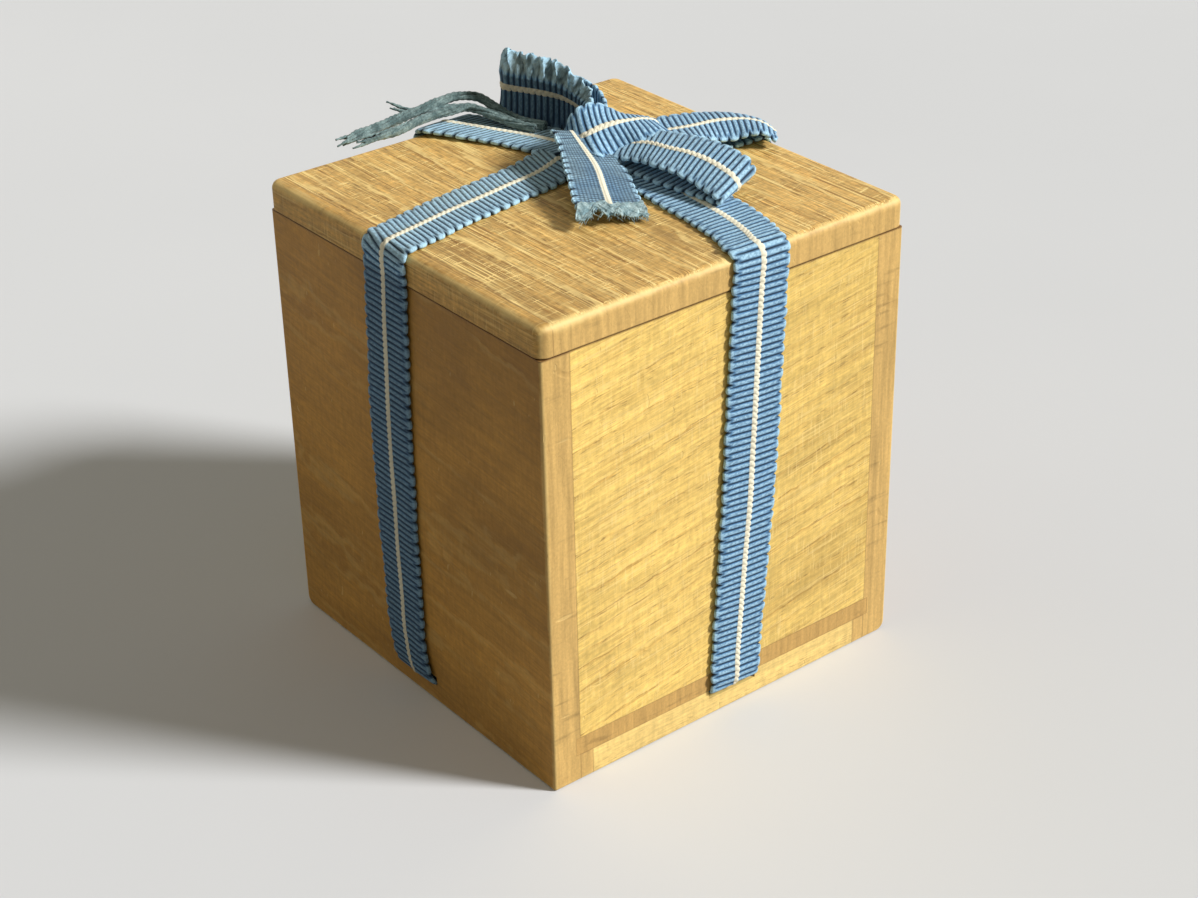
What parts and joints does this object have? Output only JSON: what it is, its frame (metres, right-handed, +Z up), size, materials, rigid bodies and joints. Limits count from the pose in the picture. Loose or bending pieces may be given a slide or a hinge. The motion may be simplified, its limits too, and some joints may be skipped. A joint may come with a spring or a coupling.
{
  "type": "tied wooden tea caddy box",
  "caption": "Square plain wooden storage box with a flat lift-off lid, tied both ways with a ribbed woven tape in a bow, holding a round lacquered tea caddy.",
  "frame": {"origin": "middle of the box's footprint, on the floor", "axes": "+Z up, -Y is the front board (the picture's left face), +X the right board (the picture's right face)"},
  "size_m": [0.1026, 0.1026, 0.1289],
  "materials": {
    "paulownia": "bare, planed, worn",
    "tape": "ribbed weave",
    "lacquer": "polished lacquer"
  },
  "bodies": {
    "box": {"front_board": "paulownia", "back_board": "paulownia", "left_board": "paulownia", "right_board": "paulownia", "bottom_board": "paulownia", "front_foot_rail": "paulownia", "back_foot_rail": "paulownia", "left_foot_rail": "paulownia", "right_foot_rail": "paulownia", "tape_under_across": "tape", "tape_under_along": "tape"},
    "lid": {"lid_board": "paulownia", "lid_edge_strip": "paulownia", "lid_front_batten": "paulownia", "lid_back_batten": "paulownia", "lid_left_batten": "paulownia", "lid_right_batten": "paulownia", "bow_core": "tape", "bow_wrap": "tape", "bow_right_loop": "tape", "bow_left_loop": "tape", "bow_front_tail": "tape", "bow_back_tail": "tape", "frayed_strands": "tape"},
    "caddy": {"caddy_body": "lacquer"},
    "caddy_cover": {"caddy_lid": "lacquer"},
    "right_side": {"tape_right_side": "tape"},
    "right_top": {"tape_right_top": "tape"},
    "back_side": {"tape_back_side": "tape"},
    "back_top": {"tape_back_top": "tape"},
    "left_side": {"tape_left_side": "tape"},
    "left_top": {"tape_left_top": "tape"},
    "front_side": {"tape_front_side": "tape"},
    "front_top": {"tape_front_top": "tape"}
  },
  "joints": [
    {"name": "lid_lift", "type": "slide", "parent": "box", "child": "lid", "axis": [0, 0, 1], "range_m": [0, 0.13], "deforming": ["tape_right_top", "tape_back_top", "tape_left_top", "tape_front_top"]},
    {"name": "caddy_lift", "type": "slide", "parent": "box", "child": "caddy", "axis": [0, 0, 1], "range_m": [0, 0.1]},
    {"name": "caddy_cover_lift", "type": "slide", "parent": "caddy", "child": "caddy_cover", "axis": [0, 0, 1], "range_m": [0, 0.035]},
    {"name": "right_side_fold", "type": "hinge", "parent": "box", "child": "right_side", "pos_m": [0.0508, 0, 0.0082], "axis": [0, 1, 0], "range_deg": [0, 92]},
    {"name": "right_top_fold", "type": "hinge", "parent": "right_side", "child": "right_top", "pos_m": [0.0508, 0, 0.1114], "axis": [0, 1, 0], "range_deg": [0, 90]},
    {"name": "back_side_fold", "type": "hinge", "parent": "box", "child": "back_side", "pos_m": [0, 0.0508, 0.0082], "axis": [-1, 0, 0], "range_deg": [0, 92]},
    {"name": "back_top_fold", "type": "hinge", "parent": "back_side", "child": "back_top", "pos_m": [0, 0.0508, 0.1114], "axis": [-1, 0, 0], "range_deg": [0, 90]},
    {"name": "left_side_fold", "type": "hinge", "parent": "box", "child": "left_side", "pos_m": [-0.0508, 0, 0.0082], "axis": [0, -1, 0], "range_deg": [0, 92]},
    {"name": "left_top_fold", "type": "hinge", "parent": "left_side", "child": "left_top", "pos_m": [-0.0508, 0, 0.1114], "axis": [0, -1, 0], "range_deg": [0, 90]},
    {"name": "front_side_fold", "type": "hinge", "parent": "box", "child": "front_side", "pos_m": [0, -0.0508, 0.0082], "axis": [1, 0, 0], "range_deg": [0, 92]},
    {"name": "front_top_fold", "type": "hinge", "parent": "front_side", "child": "front_top", "pos_m": [0, -0.0508, 0.1114], "axis": [1, 0, 0], "range_deg": [0, 90]}
  ],
  "couplings": [
    {"joint": "caddy_lift", "follows": "lid_lift", "ratio": 0.769},
    {"joint": "caddy_cover_lift", "follows": "lid_lift", "ratio": 0.269},
    {"joint": "right_side_fold", "follows": "lid_lift", "rad_per_m": 12.35},
    {"joint": "right_top_fold", "follows": "lid_lift", "rad_per_m": 12.08},
    {"joint": "back_side_fold", "follows": "lid_lift", "rad_per_m": 12.35},
    {"joint": "back_top_fold", "follows": "lid_lift", "rad_per_m": 12.08},
    {"joint": "left_side_fold", "follows": "lid_lift", "rad_per_m": 12.35},
    {"joint": "left_top_fold", "follows": "lid_lift", "rad_per_m": 12.08},
    {"joint": "front_side_fold", "follows": "lid_lift", "rad_per_m": 12.35},
    {"joint": "front_top_fold", "follows": "lid_lift", "rad_per_m": 12.08}
  ]
}
